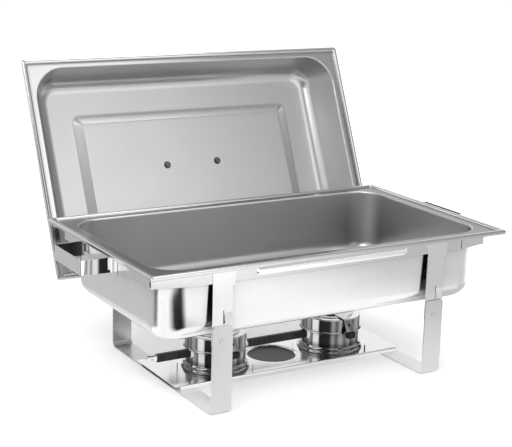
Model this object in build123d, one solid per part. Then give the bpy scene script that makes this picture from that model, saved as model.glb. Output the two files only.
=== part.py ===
"""Folding chafing dish food warmer, in millimetres, +Z up.

The origin is on the table, under the middle of the whole object's plan. +X runs along the long
side, and the lid stands behind the water pan, on the +Y side.
Everything is first modelled with the origin under the middle of the frame, and moved by CENTRE
when it is written.
"""
import os
from math import atan2, cos, degrees, radians, sin, tan

from build123d import *

# --- driving dimensions -------------------------------------------------------------------
CENTRE = (0.0, 82.13, 0.0) # from the middle of the frame to the middle of the whole plan
SHEET = 1.0               # pressed sheet of the pan, the lid and the shelf
REST_GAP = 0.3            # under the pan's flange, which lies on the frame
GAP = 0.1                 # between other parts that rest on each other but lift apart

# water pan
RIM_TOP = 210.0           # height of the water pan's rolled rim
RIM = (580.0, 341.0)
PAN_Y = -3.0
PAN_MOUTH = (533.0, 293.0, 43.0)
PAN_FLOOR = (525.0, 285.0, 38.0)
PAN_DEPTH = 102.5
PAN_FLOOR_RADIUS = 24.0
RIM_BEAD = 8.0
RIM_RISE = 2.7
RIM_LIP = 6.0

# frame
RAIL_HEIGHT = 22.5
RAIL_TOP = RIM_TOP - RIM_RISE - SHEET - REST_GAP
RAIL_BOTTOM = RAIL_TOP - RAIL_HEIGHT
RAIL_THICKNESS = 1.5
FRAME_X = 276.0           # outer face of the side rails
FRAME_Y = 153.5           # outer face of the front and rear rails
BEND_X = 223.0            # where the front and rear rails start to bend back
CORNER_Y = 141.5          # where the bent ends meet the side rails
SEAM = 1.2                # open seam between two rails
RIB = (248.0, 13.0, 1.2)  # length, height and depth of the front rail's rib
SPLICE_THICKNESS = 0.8
SPLICE_HEIGHT = 13.0

# folding legs
LEG_X = 176.0             # middle of each leg
LEG_WIDTH = 31.0
LEG_THICKNESS = 2.0
LEG_BEND = 9.0
LEG_TOPS = {-1: 125.0, 1: 113.0}    # top of the left and the right leg
LEG_CORNER = 9.0
PIVOT_DROP = 22.0         # pivot below the top of the leg
LEG_CLEARANCE = 0.2       # between a leg and its bracket
BRACKET_THICKNESS = 1.5
BRACKET_TAIL = 12.0       # bracket below the pivot
BRACKET_EAR = (4.0, 0.8, 178.0)     # width, thickness and lowest point of its upper edge strip
TONGUE = (3.0, 14.0, 16.0, 2.4)     # from x to x, height and standoff of the spring tongue
TONGUE_RISE = 2.6         # tongue's lower edge above the top of the leg
SLIT_HEIGHT = 19.0
PIN_RADIUS = 3.0
PIN_CLEARANCE = 0.05
HEAD_RADIUS = 4.5
HEAD_HEIGHT = 0.5

# side handles
HANDLE_REACH = 48.0
HANDLE_FRONT = -31.0
HANDLE_BACK = 63.0
HANDLE_BOTTOM = 178.5
HANDLE_HEIGHT = 21.0
HANDLE_THICKNESS = 2.0
HANDLE_TAB = 16.0

# lid, standing behind the pan
LID = (570.0, 339.0)
LID_MOUTH = (537.0, 311.0, 49.0)
LID_FLOOR = (493.0, 293.0, 31.0)
LID_DEPTH = 58.0
LID_FLOOR_RADIUS = 22.0
LID_BEAD = 7.0
LID_RISE = 4.3
LID_LEAN = 23.94          # degrees back from upright
LID_FOOT = (6.7, 158.3, 116.0)      # middle of the lid's lowest front edge
PANEL = (391.0, 183.0, 12.0)
PANEL_SLOPE = 14.5
PANEL_RISE = 5.5
LID_HANDLE_SPAN = 92.0
LID_HANDLE_HEIGHT = 40.0
LID_HANDLE_WIDTH = 22.0
LID_HANDLE_THICKNESS = 2.5

# lid holder
HOOK_X = 45.0
HOOK_WIDTH = 24.0
HOOK_THICKNESS = 2.0
STAY = (46.0, 72.0)       # the stays meet the lid's back between these heights up the lid
REST_BAR_RADIUS = 4.0
REST_BAR_LENGTH = 240.0
REST_BAR_DEPTH = 38.0     # behind the lid's open side

# fuel shelf
SHELF_LENGTH = 388.0
SHELF_WIDTH = 126.0
SHELF_Y = 4.0
SHELF_TOP = 8.2
SHELF_LIP = 5.0
DISH_RADIUS = 37.0
DISH_DEPTH = 4.0

# fuel burners
BURNER_X = 100.0
BURNER_Y = -2.0
BURNER_RADIUS = 45.0
BURNER_FLANGE = 50.0
CUP_HEIGHT = 31.0
COVER_HEIGHT = 22.0
BURNER_SHEET = 1.0
VENT_RADIUS = 9.0
VENT_CIRCLE = 22.0
VENTS = 3
DAMPER_RADIUS = 34.0
LEVER_WIDTH = 13.0
LEVER_DROP = 18.0
KNOB = (14.0, 9.0, 10.0)
LINK_HEIGHT = 11.5
LINK_WIDTH = 8.0
LINK_BOTTOM = 27.5
GRIP_END_X = -196.0
TIP_LENGTH = 16.0

BURNER_BASE = SHELF_TOP + GAP
COVER_BOTTOM = BURNER_BASE + CUP_HEIGHT
COVER_TOP = COVER_BOTTOM + COVER_HEIGHT


def plate(length, width, radius, z, height):
    """Flat plate with rounded corners, from z up by height."""
    return extrude(Pos(0, 0, z) * RectangleRounded(length, width, radius), amount=height)


def strip(points, bend, thickness, plane, width):
    """Bent flat strip: its centreline lies in the plane, and its width runs along the normal."""
    path = FilletPolyline(*points, radius=bend)
    return extrude(plane * trace(path, line_width=thickness), amount=width)


def turned(shape):
    """The same part, or each of its solids, on the opposite corner of the frame."""
    if isinstance(shape, list):
        return [turned(piece) for piece in shape]
    return Rot(0, 0, 180) * shape


# --- pressed trays: water pan and lid -----------------------------------------------------
def well(mouth, floor, top, depth, floor_radius):
    """Rounded block between a mouth outline and a smaller floor outline, with a round edge."""
    outlines = [Pos(0, 0, top) * RectangleRounded(*mouth),
                Pos(0, 0, top - depth) * RectangleRounded(*floor)]
    block = loft(outlines, ruled=True)
    return fillet(block.faces().sort_by(Axis.Z)[0].edges(), floor_radius)


def inset(outline, amount):
    length, width, radius = outline
    return length - 2 * amount, width - 2 * amount, radius - amount


def soften_mouth(shape, z, radius):
    """Round the inner edge where a flat flange turns down into the well."""
    edges = [e for e in shape.edges() if abs(e.center().Z - z) < 0.01 and e.is_interior]
    return fillet(edges, radius)


def bead_ring(rim, bead, rise, lip):
    """Folded rim, open underneath: its top is at z = 0 and its outer lip reaches down by lip."""
    length, width = rim
    ring = plate(length, width, 4, -lip, lip)
    ring = fillet(ring.faces().sort_by(Axis.Z)[-1].edges(), 1.6)
    ring -= plate(length - 2 * bead, width - 2 * bead, 2, -lip, lip)
    fold = plate(length - 2 * SHEET, width - 2 * SHEET, 3, -lip, lip - SHEET)
    web = plate(length - 2 * bead + 2 * SHEET, width - 2 * bead + 2 * SHEET, 3,
                -rise - SHEET, rise)
    return ring - (fold - web)


def tray(rim, mouth, floor, depth, floor_radius, bead, rise, lip):
    """Pressed tray with its rim's top at z = 0: folded bead, flat flange and deep well."""
    length, width = rim
    top = -rise
    outer = plate(length - 2 * bead + SHEET, width - 2 * bead + SHEET, 3, top - SHEET, SHEET)
    outer += well(mouth, floor, top - SHEET / 2, depth - SHEET / 2, floor_radius)
    outer = soften_mouth(outer, top - SHEET, 1.0)
    room = plate(length - 2 * bead, width - 2 * bead, 2, top, rise)
    inner = well(inset(mouth, SHEET), inset(floor, SHEET), top + SHEET / 2, depth - SHEET / 2,
                 floor_radius - SHEET)
    cutter = soften_mouth(room + inner, top, 2.0)
    return outer + bead_ring(rim, bead, rise, lip) - cutter


def part_rim(shape, mouth):
    """The well and the rim of a tray, parted under the flange where the well begins."""
    length, width, radius = mouth
    core = plate(length + 2, width + 2, radius + 1, -200, 200)
    return shape & core, shape - core


def frustum(base, slope, bottom, height):
    """Low block with sloping sides, for the lid's stepped panel."""
    length, width, radius = base
    low = Pos(0, 0, bottom) * RectangleRounded(length, width, radius)
    high_size = (length - 2 * slope, width - 2 * slope)
    high = Pos(0, 0, bottom + height) * RectangleRounded(*high_size, 3)
    return loft([low, high], ruled=True)


def make_water_pan():
    """The pan's well and its rim."""
    pan = tray(RIM, PAN_MOUTH, PAN_FLOOR, PAN_DEPTH, PAN_FLOOR_RADIUS, RIM_BEAD, RIM_RISE,
               RIM_LIP)
    return [Pos(0, PAN_Y, RIM_TOP) * piece for piece in part_rim(pan, PAN_MOUTH)]


def in_lid(x, along, depth):
    """Point given along the lid's own plane: x, distance up from its foot, depth behind it."""
    lean = radians(LID_LEAN)
    foot_x, foot_y, foot_z = LID_FOOT
    y = foot_y + along * sin(lean) + depth * cos(lean)
    z = foot_z + along * cos(lean) - depth * sin(lean)
    return foot_x + x, y, z


def lid_frame():
    """Place of the lid's own axes: X along it, Y up it, Z out of its open side."""
    lean = radians(LID_LEAN)
    return Plane(origin=in_lid(0, LID[1] / 2, 0), x_dir=(1, 0, 0),
                 z_dir=(0, -cos(lean), sin(lean)))


def make_lid():
    """The lid's well and its rim."""
    lid = tray(LID, LID_MOUTH, LID_FLOOR, LID_DEPTH, LID_FLOOR_RADIUS, LID_BEAD, LID_RISE,
               LID_RISE + SHEET)
    floor = -LID_RISE - LID_DEPTH + SHEET
    lid += frustum(PANEL, PANEL_SLOPE, floor, PANEL_RISE)
    lid -= frustum(PANEL, PANEL_SLOPE, floor - SHEET, PANEL_RISE)
    for side in (-1, 1):
        lid -= Pos(side * LID_HANDLE_SPAN / 2, 0, floor) * Cylinder(2.5, 30)
    return [lid_frame() * piece for piece in part_rim(lid, LID_MOUTH)]


def lid_back():
    """Height of the lid floor's outer face in the lid's own frame."""
    return -LID_RISE - LID_DEPTH


def lid_panel_back():
    """Height of the panel's outer face in the lid's own frame."""
    return lid_back() + PANEL_RISE


def make_lid_handle():
    """Bowed strap on the outside of the lid, held by two screws."""
    half_span = LID_HANDLE_SPAN / 2
    foot = lid_panel_back() - LID_HANDLE_THICKNESS / 2
    crown = foot - LID_HANDLE_HEIGHT
    side = [(half_span + 12, foot), (half_span - 12, foot), (half_span - 20, crown)]
    mirrored = [(-x, z) for x, z in reversed(side)]
    plane = Plane(origin=(0, LID_HANDLE_WIDTH / 2, 0), x_dir=(1, 0, 0), z_dir=(0, -1, 0))
    strap = strip(side + mirrored, 6, LID_HANDLE_THICKNESS, plane, LID_HANDLE_WIDTH)
    for end in (-1, 1):
        strap -= Pos(end * half_span, 0, foot) * Cylinder(2.5, 8)
    return lid_frame() * strap


def at_lid_screws(shape):
    return [lid_frame() * Pos(side * LID_HANDLE_SPAN / 2, 0, 0) * shape for side in (-1, 1)]


def make_lid_screws():
    """Slotted pan head inside the lid, and the shank through the lid and the strap."""
    face = lid_panel_back() + SHEET + 0.6
    head = Pos(0, 0, face + 1.2) * Cylinder(4.4, 2.4)
    head = fillet(head.faces().sort_by(Axis.Z)[-1].edges(), 1.2)
    head -= Pos(0, 0, face + 2.4) * Box(9, 1.1, 2.0)
    shank_length = 0.6 + SHEET + LID_HANDLE_THICKNESS + 5.0
    shank = Pos(0, 0, face - shank_length / 2) * Cylinder(2.5, shank_length)
    return at_lid_screws(head + shank)


def make_lid_washers():
    face = lid_panel_back() + SHEET
    return at_lid_screws(Pos(0, 0, face + 0.3) * (Cylinder(6.0, 0.6) - Cylinder(2.5, 0.6)))


def make_lid_nuts():
    """Nuts behind the strap's feet."""
    back = lid_panel_back() - LID_HANDLE_THICKNESS
    hexagon = RegularPolygon(4.6, 6) - Circle(2.5)
    return at_lid_screws(extrude(Pos(0, 0, back - 3.5) * hexagon, amount=3.5))


# --- frame --------------------------------------------------------------------------------
def rail(points):
    return strip(points, 4, RAIL_THICKNESS, Plane.XY.offset(RAIL_BOTTOM), RAIL_HEIGHT)


def parted(shape, plane):
    """The strip as two solids that meet at a bend, so that each is nearly straight."""
    return [split(shape, bisect_by=plane, keep=side) for side in (Keep.TOP, Keep.BOTTOM)]


def bend_slope():
    return (FRAME_Y - CORNER_Y) / (FRAME_X - BEND_X)


def bent_end_y(x):
    """Distance of a bent rail end's centreline from the frame's middle plane, at x."""
    return FRAME_Y - RAIL_THICKNESS / 2 - (abs(x) - BEND_X) * bend_slope()


def make_long_rail():
    """Straight front rail whose left end bends back to the frame's corner."""
    y = -FRAME_Y + RAIL_THICKNESS / 2
    end = -FRAME_X + RAIL_THICKNESS + 0.2
    return rail([(BEND_X - SEAM, y), (-BEND_X, y), (end, -bent_end_y(end))])


def make_long_rail_pieces():
    """The long rail's straight run and its bent end."""
    return parted(make_long_rail(), Plane.YZ.offset(-BEND_X))


def make_front_rail():
    """The long rail, with its pressed rib between the legs, and its bent end."""
    length, height, depth = RIB
    place = Plane(origin=(0, -FRAME_Y, RAIL_BOTTOM + RAIL_HEIGHT * 0.45), x_dir=(1, 0, 0),
                  z_dir=(0, -1, 0))
    rib = extrude(place * RectangleRounded(length, height, 3), amount=depth)
    rib = fillet(rib.faces().sort_by(Axis.Y)[0].edges(), depth * 0.7)
    straight, end = make_long_rail_pieces()
    return [straight + rib, end]


def make_right_rail():
    """Side rail with its front end bent round to the front rail's seam."""
    x = FRAME_X - RAIL_THICKNESS / 2
    y = -FRAME_Y + RAIL_THICKNESS / 2
    corner_y = -bent_end_y(x)
    strip_round = rail([(BEND_X, y), (x, corner_y), (x, -corner_y - 2 * SEAM)])
    return parted(strip_round, Plane.XZ.offset(-corner_y - 6))


def make_rail_splices():
    """Thin straps inside the frame that bridge its four seams."""
    t = SPLICE_THICKNESS
    plane = Plane.XY.offset(RAIL_BOTTOM + 2)
    step = (RAIL_THICKNESS + t) / 2 + 0.02
    reach = 16.0
    rise = reach * bend_slope()
    y = -FRAME_Y + RAIL_THICKNESS / 2 + step
    bend_x = BEND_X - 0.3
    flat = [(bend_x - reach, y), (bend_x, y), (bend_x + reach, y + rise)]
    x = -FRAME_X + RAIL_THICKNESS / 2 + step
    corner_y = -bent_end_y(x) + step * 1.03
    corner = [(x + reach, corner_y - rise), (x, corner_y), (x, corner_y + reach)]
    straps = [strip(flat, 4, t, plane, SPLICE_HEIGHT), strip(corner, 3, t, plane, SPLICE_HEIGHT)]
    return straps + turned(straps)


def pivot_height(side):
    return LEG_TOPS[side] - PIVOT_DROP


def leg_face():
    """Distance from the middle plane to the outer face of a leg's upright."""
    return FRAME_Y + BRACKET_THICKNESS + LEG_CLEARANCE + LEG_THICKNESS


def make_bracket(side):
    """Front bracket of one leg: strip with a thin ear at the rail and a spring tongue."""
    t = BRACKET_THICKNESS
    front = -FRAME_Y - t
    bottom = pivot_height(side) - BRACKET_TAIL
    height = RAIL_TOP - bottom
    body = Pos(0, front + t / 2, bottom + height / 2) * Box(LEG_WIDTH - 1, t, height)
    lower = body.edges().filter_by(Axis.Y).group_by(Axis.Z)[0]
    body = fillet(lower, 9)
    ear_width, ear_t, ear_low = BRACKET_EAR
    ear_x = (LEG_WIDTH - 1 + ear_width) / 2
    ear_height = RAIL_TOP - ear_low
    body += Pos(ear_x, -FRAME_Y - ear_t / 2, ear_low + ear_height / 2) * Box(
        ear_width, ear_t, ear_height)
    body -= Pos(0, front, pivot_height(side)) * Rot(90, 0, 0) * Cylinder(PIN_RADIUS, 4 * t)
    x_from, x_to, tall, standoff = TONGUE
    low = LEG_TOPS[side] + TONGUE_RISE
    slit = Pos(x_from - 1.2, front, low + SLIT_HEIGHT / 2 - 0.6) * Box(1.2, 4 * t, SLIT_HEIGHT)
    window = Pos((x_from + x_to) / 2, front, low + tall / 2) * Box(x_to - x_from, 4 * t, tall)
    points = [(front + t / 2, low + tall + 1), (front + t / 2, low + tall - 1),
              (front + t / 2 - standoff, low)]
    plane = Plane.YZ.offset(x_from)
    tongue = strip(points, 2, t, plane, x_to - x_from)
    tongue &= Pos(0, front, low + tall / 2 + 5) * Box(4 * LEG_WIDTH, 20, tall + 10)
    return body - slit - window + tongue


def make_brackets():
    parts = {}
    for side, name in ((-1, "left"), (1, "right")):
        front = make_bracket(side)
        place = Pos(side * LEG_X, 0, 0)
        parts[f"leg_bracket_front_{name}"] = place * front
        parts[f"leg_bracket_rear_{name}"] = place * turned(front)
    return parts


def make_leg(side):
    """One folding leg: two uprights and the bar on the table, bent from one strip."""
    t = LEG_THICKNESS
    y = leg_face() - t / 2
    top = LEG_TOPS[side]
    points = [(-y, top), (-y, t / 2), (y, t / 2), (y, top)]
    plane = Plane.YZ.offset(side * LEG_X - LEG_WIDTH / 2)
    leg = strip(points, LEG_BEND, t, plane, LEG_WIDTH)
    leg = fillet(leg.edges().filter_by(Axis.Y).group_by(Axis.Z)[-1], LEG_CORNER)
    hole = Cylinder(PIN_RADIUS + PIN_CLEARANCE, 3 * FRAME_Y)
    return leg - Pos(side * LEG_X, 0, pivot_height(side)) * Rot(90, 0, 0) * hole


def make_leg_rivets():
    """Four flat-headed rivets: one through each bracket and leg."""
    inner = FRAME_Y
    outer = leg_face() + GAP
    body = Pos(0, -(inner + outer) / 2, 0) * Rot(90, 0, 0) * Cylinder(PIN_RADIUS, outer - inner)
    back = Pos(0, -inner + 0.6, 0) * Rot(90, 0, 0) * Cylinder(HEAD_RADIUS, 1.2)
    head = Pos(0, -outer - HEAD_HEIGHT / 2, 0) * Rot(90, 0, 0) * Cylinder(HEAD_RADIUS, HEAD_HEIGHT)
    head = fillet(head.faces().sort_by(Axis.Y)[0].edges(), HEAD_HEIGHT * 0.7)
    rivet = body + back + head
    fronts = [Pos(side * LEG_X, 0, pivot_height(side)) * rivet for side in (-1, 1)]
    rears = [Pos(side * LEG_X, 0, pivot_height(side)) * turned(rivet) for side in (-1, 1)]
    return fronts + rears


def make_right_handle():
    """Strap loop on the right side rail, with a welded tab at each end."""
    t = HANDLE_THICKNESS
    near = FRAME_X + t / 2
    far = FRAME_X + HANDLE_REACH - t / 2
    points = [(near, HANDLE_FRONT - HANDLE_TAB), (near, HANDLE_FRONT), (far, HANDLE_FRONT),
              (far, HANDLE_BACK), (near, HANDLE_BACK), (near, HANDLE_BACK + HANDLE_TAB)]
    return strip(points, 5, t, Plane.XY.offset(HANDLE_BOTTOM), HANDLE_HEIGHT)


# --- lid holder ---------------------------------------------------------------------------
def rest_bar_place():
    """Middle of the bar under the lid's lower wall, as (y, z)."""
    mouth = (LID[1] - LID_MOUTH[1]) / 2
    draft = atan2((LID_MOUTH[1] - LID_FLOOR[1]) / 2, LID_DEPTH)
    along = mouth + (REST_BAR_DEPTH - LID_RISE) * tan(draft)
    along -= (REST_BAR_RADIUS + REST_GAP) / cos(draft)
    return in_lid(0, along, REST_BAR_DEPTH)[1:]


def make_lid_hook(side):
    """Strip down from the rear rail, under the lid's foot and up behind its back."""
    t = HOOK_THICKNESS
    bar_y, bar_z = rest_bar_place()
    floor = bar_z - REST_BAR_RADIUS - t / 2
    near = FRAME_Y + t / 2
    behind = REST_GAP + t / 2 - lid_back()
    low_stay, high_stay = (in_lid(0, along, behind)[1:] for along in STAY)
    lean = tan(radians(LID_LEAN))
    turn_y = low_stay[0] - (low_stay[1] - floor) * lean
    points = [(near, RAIL_TOP), (near, floor), (turn_y, floor), high_stay]
    plane = Plane.YZ.offset(side * HOOK_X - HOOK_WIDTH / 2)
    return strip(points, 6, t, plane, HOOK_WIDTH)


def make_lid_rest_bar():
    bar_y, bar_z = rest_bar_place()
    bar = Rot(0, 90, 0) * Cylinder(REST_BAR_RADIUS, REST_BAR_LENGTH)
    return Pos(0, bar_y, bar_z) * fillet(bar.edges().filter_by(GeomType.CIRCLE), 1)


# --- fuel shelf ---------------------------------------------------------------------------
def make_fuel_shelf():
    """Shelf on the two leg bars: turned-down long lips and a pressed dish in the middle."""
    top = plate(SHELF_LENGTH, SHELF_WIDTH, 3, SHELF_TOP - SHEET, SHEET)
    lip_length = SHELF_LENGTH - 16.0
    for side in (-1, 1):
        y = side * (SHELF_WIDTH / 2 - SHEET / 2)
        top += Pos(0, y, SHELF_TOP - SHEET - SHELF_LIP / 2) * Box(lip_length, SHEET, SHELF_LIP)
    dish_outer = Cone(DISH_RADIUS - 6, DISH_RADIUS + 0.6, DISH_DEPTH)
    dish_inner = Cone(DISH_RADIUS - 7, DISH_RADIUS, DISH_DEPTH)
    top += Pos(0, 0, SHELF_TOP - DISH_DEPTH / 2 - SHEET * 0.9) * dish_outer
    top -= Pos(0, 0, SHELF_TOP - DISH_DEPTH / 2 + 0.02) * dish_inner
    return Pos(0, SHELF_Y, 0) * top


# --- fuel burners -------------------------------------------------------------------------
def turned_ring(outline):
    """Solid of revolution about Z from an outline of (radius, height) points."""
    return revolve(Plane.XZ * make_face(Polyline(*outline, close=True)), axis=Axis.Z)


def make_cup():
    """Round holder with a flared foot and a rounded shoulder."""
    s = BURNER_SHEET
    r = BURNER_RADIUS
    outline = [
        (0, 0), (r, 0), (BURNER_FLANGE, 0.4), (BURNER_FLANGE, 2.2), (r + 2.2, 4.4),
        (r + 2.6, 7.4), (r + 0.6, 9.2), (r - 0.6, 11), (r - 0.6, CUP_HEIGHT - GAP),
        (r - 0.6 - s, CUP_HEIGHT - GAP), (r - 0.6 - s, 4), (0, 4)]
    return Pos(0, 0, BURNER_BASE) * turned_ring(outline)


def make_cover():
    """Cap on the cup: rolled lower edge, short skirt and a top with round vents."""
    s = BURNER_SHEET
    r = BURNER_RADIUS + 0.6
    h = COVER_HEIGHT
    outline = [
        (r - s, 0), (r + 1.6, 0), (r + 2.2, 1.2), (r + 1.6, 2.4), (r, 3), (r, h - 1.6),
        (r - 1.6, h), (0, h), (0, h - s), (r - s - 1.2, h - s), (r - s, h - s - 1.2)]
    cover = turned_ring(outline)
    for place in PolarLocations(VENT_CIRCLE, VENTS):
        cover -= place * Pos(0, 0, h) * Cylinder(VENT_RADIUS, 6 * s)
    cover -= Pos(0, 0, h) * Cylinder(1.5, 6 * s)
    return Pos(0, 0, COVER_BOTTOM) * cover


def make_damper():
    """Turning disc on the cover, with vents that line up with the cover's own."""
    disc = Cylinder(DAMPER_RADIUS, 1.0)
    for place in PolarLocations(VENT_CIRCLE, VENTS):
        disc -= place * Cylinder(VENT_RADIUS, 4)
    disc -= Cylinder(1.5 + PIN_CLEARANCE, 4)
    return Pos(0, 0, COVER_TOP + GAP + 0.5) * disc


def make_lever():
    """Flat lever on the disc that bends down over the cover's edge."""
    t = 1.2
    z = COVER_TOP + GAP + 1.0 + t / 2
    brink = BURNER_RADIUS + 1.5
    points = [(-12, z), (-brink, z), (-brink - 9, z - LEVER_DROP)]
    plane = Plane.YZ.offset(-LEVER_WIDTH / 2)
    lever = strip(points, 3, t, plane, LEVER_WIDTH)
    for place in PolarLocations(VENT_CIRCLE, VENTS):
        lever -= place * Pos(0, 0, z) * Cylinder(VENT_RADIUS, 4)
    return lever


def lever_end():
    return BURNER_RADIUS + 1.5 + 9, COVER_TOP + GAP + 1.6 - LEVER_DROP


def make_knob():
    """Moulded grip on the lever's end."""
    reach, z = lever_end()
    knob = Pos(0, -reach - 1.0, z - KNOB[2] / 2 + 1.0) * Box(*KNOB)
    knob = fillet(knob.edges(), 2)
    return knob - make_lever()


def make_knob_rivet():
    """Small rivet through the lever's sloping part."""
    reach = BURNER_RADIUS + 1.5 + 4.2
    z = COVER_TOP + GAP + 1.6 - LEVER_DROP * 0.47
    slope = degrees(atan2(LEVER_DROP, 9))
    rivet = Rot(slope, 0, 0) * (Pos(0, 0, 0.75) * Cylinder(2.2, 0.9))
    return Pos(0, -reach, z) * rivet


def make_damper_rivet():
    """Rivet in the middle of the cover that the disc turns on."""
    low = COVER_TOP - BURNER_SHEET
    high = COVER_TOP + 2 * GAP + 1.0
    pin = Pos(0, 0, (low + high) / 2) * Cylinder(1.5, high - low)
    head = Pos(0, 0, high + 0.5) * fillet(Cylinder(3.5, 1.0).edges().group_by(Axis.Z)[-1], 0.6)
    foot = Pos(0, 0, low - 0.5) * Cylinder(3.5, 1.0)
    return pin + head + foot


def burner_parts(side, name):
    """Every piece of one burner, with its name."""
    shapes = {
        "burner_cup": make_cup(),
        "burner_cover": make_cover(),
        "damper_disc": make_damper(),
        "damper_lever": make_lever() - make_knob_rivet(),
        "lever_knob": make_knob(),
        "lever_rivet": make_knob_rivet(),
        "damper_pin": make_damper_rivet(),
    }
    place = Pos(side * BURNER_X, BURNER_Y, 0)
    return {f"{part}_{name}": place * shape for part, shape in shapes.items()}


def channel(x_from, x_to):
    """Folded channel bar along X, open at the back."""
    length = x_to - x_from
    middle = (x_from + x_to) / 2
    bar = Box(length, LINK_WIDTH, LINK_HEIGHT)
    bar = fillet(bar.edges().filter_by(Axis.X), 1.5)
    bar -= Pos(0, 1.5, 0) * Box(length + 1, LINK_WIDTH, LINK_HEIGHT - 3)
    return Pos(middle, BURNER_Y, LINK_BOTTOM + LINK_HEIGHT / 2) * bar


def cup_gap():
    """Round tool a little larger than a cup, to shape the ends of the bars between them."""
    height = 4 * CUP_HEIGHT
    tools = [Pos(side * BURNER_X, BURNER_Y, 0) * Cylinder(BURNER_RADIUS - 0.6, height)
             for side in (-1, 1)]
    return tools[0] + tools[1]


def make_link_bar():
    """Bar that joins the two cups."""
    return channel(-BURNER_X + 30, BURNER_X - 30) - cup_gap()


def make_grip():
    """Long handle on the left cup."""
    return channel(GRIP_END_X, -BURNER_X - 30) - cup_gap()


def make_grip_tip():
    """Pressed end of the long handle, with a hanging hole."""
    tip = Box(TIP_LENGTH, LINK_WIDTH - 2, LINK_HEIGHT - 4)
    tip = fillet(tip.edges().filter_by(Axis.Y).group_by(Axis.X)[0], 3.2)
    tip -= Rot(90, 0, 0) * Cylinder(1.8, 20)
    return Pos(GRIP_END_X - TIP_LENGTH / 2, BURNER_Y, LINK_BOTTOM + LINK_HEIGHT / 2) * tip


# --- the whole object ---------------------------------------------------------------------
def make_all():
    right_rail = make_right_rail()
    right_handle = make_right_handle()
    water_pan, water_pan_rim = make_water_pan()
    lid, lid_rim = make_lid()
    parts = {
        "water_pan": water_pan,
        "water_pan_rim": water_pan_rim,
        "lid": lid,
        "lid_rim": lid_rim,
        "lid_handle": make_lid_handle(),
        "lid_handle_screws": make_lid_screws(),
        "lid_handle_washers": make_lid_washers(),
        "lid_handle_nuts": make_lid_nuts(),
        "front_rail": make_front_rail(),
        "rear_rail": turned(make_long_rail_pieces()),
        "right_rail": right_rail,
        "left_rail": turned(right_rail),
        "rail_splices": make_rail_splices(),
        "right_handle": right_handle,
        "left_handle": mirror(right_handle, about=Plane.YZ),
        "left_leg": make_leg(-1),
        "right_leg": make_leg(1),
        "leg_rivets": make_leg_rivets(),
        "lid_hook_left": make_lid_hook(-1),
        "lid_hook_right": make_lid_hook(1),
        "lid_rest_bar": make_lid_rest_bar(),
        "fuel_shelf": make_fuel_shelf(),
        "burner_link_bar": make_link_bar(),
        "burner_grip": make_grip(),
        "burner_grip_tip": make_grip_tip(),
    }
    parts.update(make_brackets())
    for side, name in ((-1, "left"), (1, "right")):
        parts.update(burner_parts(side, name))
    return parts


def write(name, shape):
    """Write one node, whose solids may be several, moved to the object's own origin."""
    pieces = shape if isinstance(shape, list) else [shape]
    to_origin = Pos(*(-value for value in CENTRE))
    solids = [solid for piece in pieces for solid in (to_origin * piece).solids()]
    export_step(Compound(children=solids), f"parts/{name}.step")


def main():
    os.makedirs("parts", exist_ok=True)
    for name, shape in make_all().items():
        write(name, shape)


main()
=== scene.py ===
import math

import bmesh
import bpy
from mathutils import Matrix, Vector


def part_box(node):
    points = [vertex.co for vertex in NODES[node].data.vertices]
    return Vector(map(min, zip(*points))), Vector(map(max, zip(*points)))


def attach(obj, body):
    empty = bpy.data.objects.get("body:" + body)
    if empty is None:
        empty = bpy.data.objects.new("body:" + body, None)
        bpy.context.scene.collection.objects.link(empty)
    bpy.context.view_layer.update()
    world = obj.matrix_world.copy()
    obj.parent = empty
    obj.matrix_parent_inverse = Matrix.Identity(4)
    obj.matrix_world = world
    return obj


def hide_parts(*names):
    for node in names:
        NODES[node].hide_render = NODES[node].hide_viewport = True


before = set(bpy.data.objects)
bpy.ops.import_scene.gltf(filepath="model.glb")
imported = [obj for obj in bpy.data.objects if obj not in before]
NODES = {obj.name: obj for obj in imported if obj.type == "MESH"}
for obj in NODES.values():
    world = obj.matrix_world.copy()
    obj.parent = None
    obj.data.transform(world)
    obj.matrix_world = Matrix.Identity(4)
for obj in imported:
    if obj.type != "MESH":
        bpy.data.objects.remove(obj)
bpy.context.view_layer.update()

MM = 0.001
FRAME_MIDDLE = -82.13     # the frame's middle plane, across the object
RAIL_T = 1.5              # thickness of the rails' strip
BEND_X = 223.0            # where the long rails start to bend towards the side rails
FRAME_X = 276.0           # outer faces of the side rails
FRAME_Y = 153.5           # outer faces of the long rails, from the frame's middle
CORNER_Y = 141.5          # where the long rails' bent ends meet the side rails
SEAM = 1.2                # gap between two rails
LIP_BEND = 2.2            # height of the bend from a tray's flange into its wall
LID_WIDTH = 339.0
LID_FOOT_Y = 76.17        # the lid's lower edge, where it stands behind the pan
LID_FOOT_Z = 116.0
LID_LEAN = math.radians(23.94)
PAN_MIDDLE = -0.085       # middle of the pan in metres, which the studio is set round
SKY_RADIUS = 7.0


# --- small helpers ------------------------------------------------------------------------
def mm_box(node):
    """Lowest and highest corner of a CAD node, in millimetres."""
    low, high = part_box(node)
    return Vector(low) / MM, Vector(high) / MM


def full_box(*nodes):
    """Box round several CAD nodes, in millimetres."""
    boxes = [mm_box(node) for node in nodes]
    low = Vector([min(b[0][i] for b in boxes) for i in range(3)])
    high = Vector([max(b[1][i] for b in boxes) for i in range(3)])
    return low, high


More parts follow.
